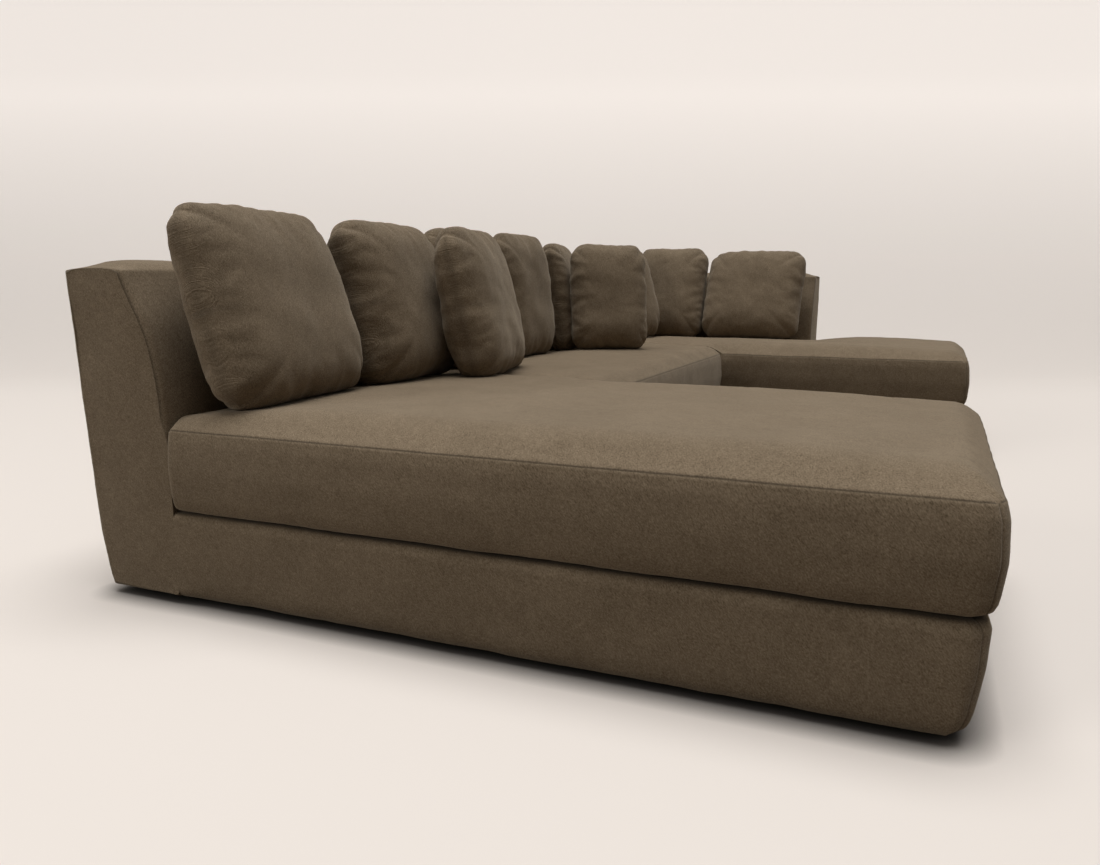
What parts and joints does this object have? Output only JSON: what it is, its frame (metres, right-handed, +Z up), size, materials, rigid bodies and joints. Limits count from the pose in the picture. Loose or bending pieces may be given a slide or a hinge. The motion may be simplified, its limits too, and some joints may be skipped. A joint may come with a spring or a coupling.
{
  "type": "u-shaped sectional sofa",
  "caption": "Low u-shaped sectional sofa in short-pile fabric: long chaise, armless middle and corner unit with an open end, leaning backs and loose stuffed cushions",
  "frame": {"origin": "on the floor, under the middle of the whole sofa's plan", "axes": "+X along the run of the backs, from the chaise to the corner unit; +Y from the open side of the U to the backs; +Z up"},
  "size_m": [3.7028, 2.0838, 0.9742],
  "materials": {
    "upholstery": "brown-olive short-pile upholstery fabric, matte, with a faint mottled nap",
    "timber": "planed softwood rails and plywood, unfinished",
    "webbing": "woven elastic upholstery webbing, dark grey",
    "dust_cover": "black non-woven cloth",
    "foot": "black moulded plastic glide",
    "steel": "zinc-plated pressed steel"
  },
  "bodies": {
    "sofa": {"chaise_base_frame": "timber", "chaise_webbing": "webbing", "chaise_base_upholstery": "upholstery", "chaise_dust_cover": "dust_cover", "chaise_seat_cushion": "upholstery", "chaise_back_frame": "timber", "chaise_back_upholstery": "upholstery", "middle_base_frame": "timber", "middle_webbing": "webbing", "middle_base_upholstery": "upholstery", "middle_dust_cover": "dust_cover", "middle_seat_cushion": "upholstery", "middle_back_frame": "timber", "middle_back_upholstery": "upholstery", "corner_base_frame": "timber", "corner_webbing": "webbing", "corner_base_upholstery": "upholstery", "corner_dust_cover": "dust_cover", "corner_seat_cushion": "upholstery", "corner_rear_back_frame": "timber", "corner_side_back_frame": "timber", "corner_back_upholstery": "upholstery", "chaise_foot_1": "foot", "chaise_foot_2": "foot", "chaise_foot_3": "foot", "chaise_foot_4": "foot", "chaise_foot_5": "foot", "chaise_foot_6": "foot", "middle_foot_1": "foot", "middle_foot_2": "foot", "middle_foot_3": "foot", "middle_foot_4": "foot", "corner_foot_1": "foot", "corner_foot_2": "foot", "corner_foot_3": "foot", "corner_foot_4": "foot", "corner_foot_5": "foot", "corner_foot_6": "foot", "chaise_joining_plate_rear": "steel", "chaise_joining_plate_front": "steel", "corner_joining_plate_rear": "steel", "corner_joining_plate_front": "steel"},
    "chaise_cushion_left_body": {"chaise_cushion_left": "upholstery"},
    "chaise_cushion_right_body": {"chaise_cushion_right": "upholstery"},
    "middle_cushion_left_body": {"middle_cushion_left": "upholstery"},
    "middle_cushion_centre_body": {"middle_cushion_centre": "upholstery"},
    "middle_cushion_right_body": {"middle_cushion_right": "upholstery"},
    "corner_cushion_rear_body": {"corner_cushion_rear": "upholstery"},
    "side_cushion_rear_body": {"side_cushion_rear": "upholstery"},
    "side_cushion_front_body": {"side_cushion_front": "upholstery"},
    "middle_cushion_turned_body": {"middle_cushion_turned": "upholstery"},
    "corner_cushion_turned_body": {"corner_cushion_turned": "upholstery"}
  },
  "joints": [
    {"name": "chaise_cushion_left_lift", "type": "slide", "parent": "sofa", "child": "chaise_cushion_left_body", "axis": [-0.0316, 0.2399, 0.9703], "range_m": [0, 0.3]},
    {"name": "chaise_cushion_right_lift", "type": "slide", "parent": "sofa", "child": "chaise_cushion_right_body", "axis": [-0.0033, 0.1908, 0.9816], "range_m": [0, 0.3]},
    {"name": "middle_cushion_left_lift", "type": "slide", "parent": "sofa", "child": "middle_cushion_left_body", "axis": [0.002, 0.2249, 0.9744], "range_m": [0, 0.3]},
    {"name": "middle_cushion_centre_lift", "type": "slide", "parent": "sofa", "child": "middle_cushion_centre_body", "axis": [-0.0009, 0.0523, 0.9986], "range_m": [0, 0.3]},
    {"name": "middle_cushion_right_lift", "type": "slide", "parent": "sofa", "child": "middle_cushion_right_body", "axis": [-0.0285, 0.1185, 0.9925], "range_m": [0, 0.3]},
    {"name": "corner_cushion_rear_lift", "type": "slide", "parent": "sofa", "child": "corner_cushion_rear_body", "axis": [0.0776, 0.2021, 0.9763], "range_m": [0, 0.3]},
    {"name": "side_cushion_rear_lift", "type": "slide", "parent": "sofa", "child": "side_cushion_rear_body", "axis": [0.284, -0.005, 0.9588], "range_m": [0, 0.3]},
    {"name": "side_cushion_front_lift", "type": "slide", "parent": "sofa", "child": "side_cushion_front_body", "axis": [0.2993, -0.0288, 0.9537], "range_m": [0, 0.3]},
    {"name": "middle_cushion_turned_lift", "type": "slide", "parent": "sofa", "child": "middle_cushion_turned_body", "axis": [0, 0, 1], "range_m": [0, 0.3]},
    {"name": "corner_cushion_turned_lift", "type": "slide", "parent": "sofa", "child": "corner_cushion_turned_body", "axis": [0, 0, 1], "range_m": [0, 0.3]}
  ]
}
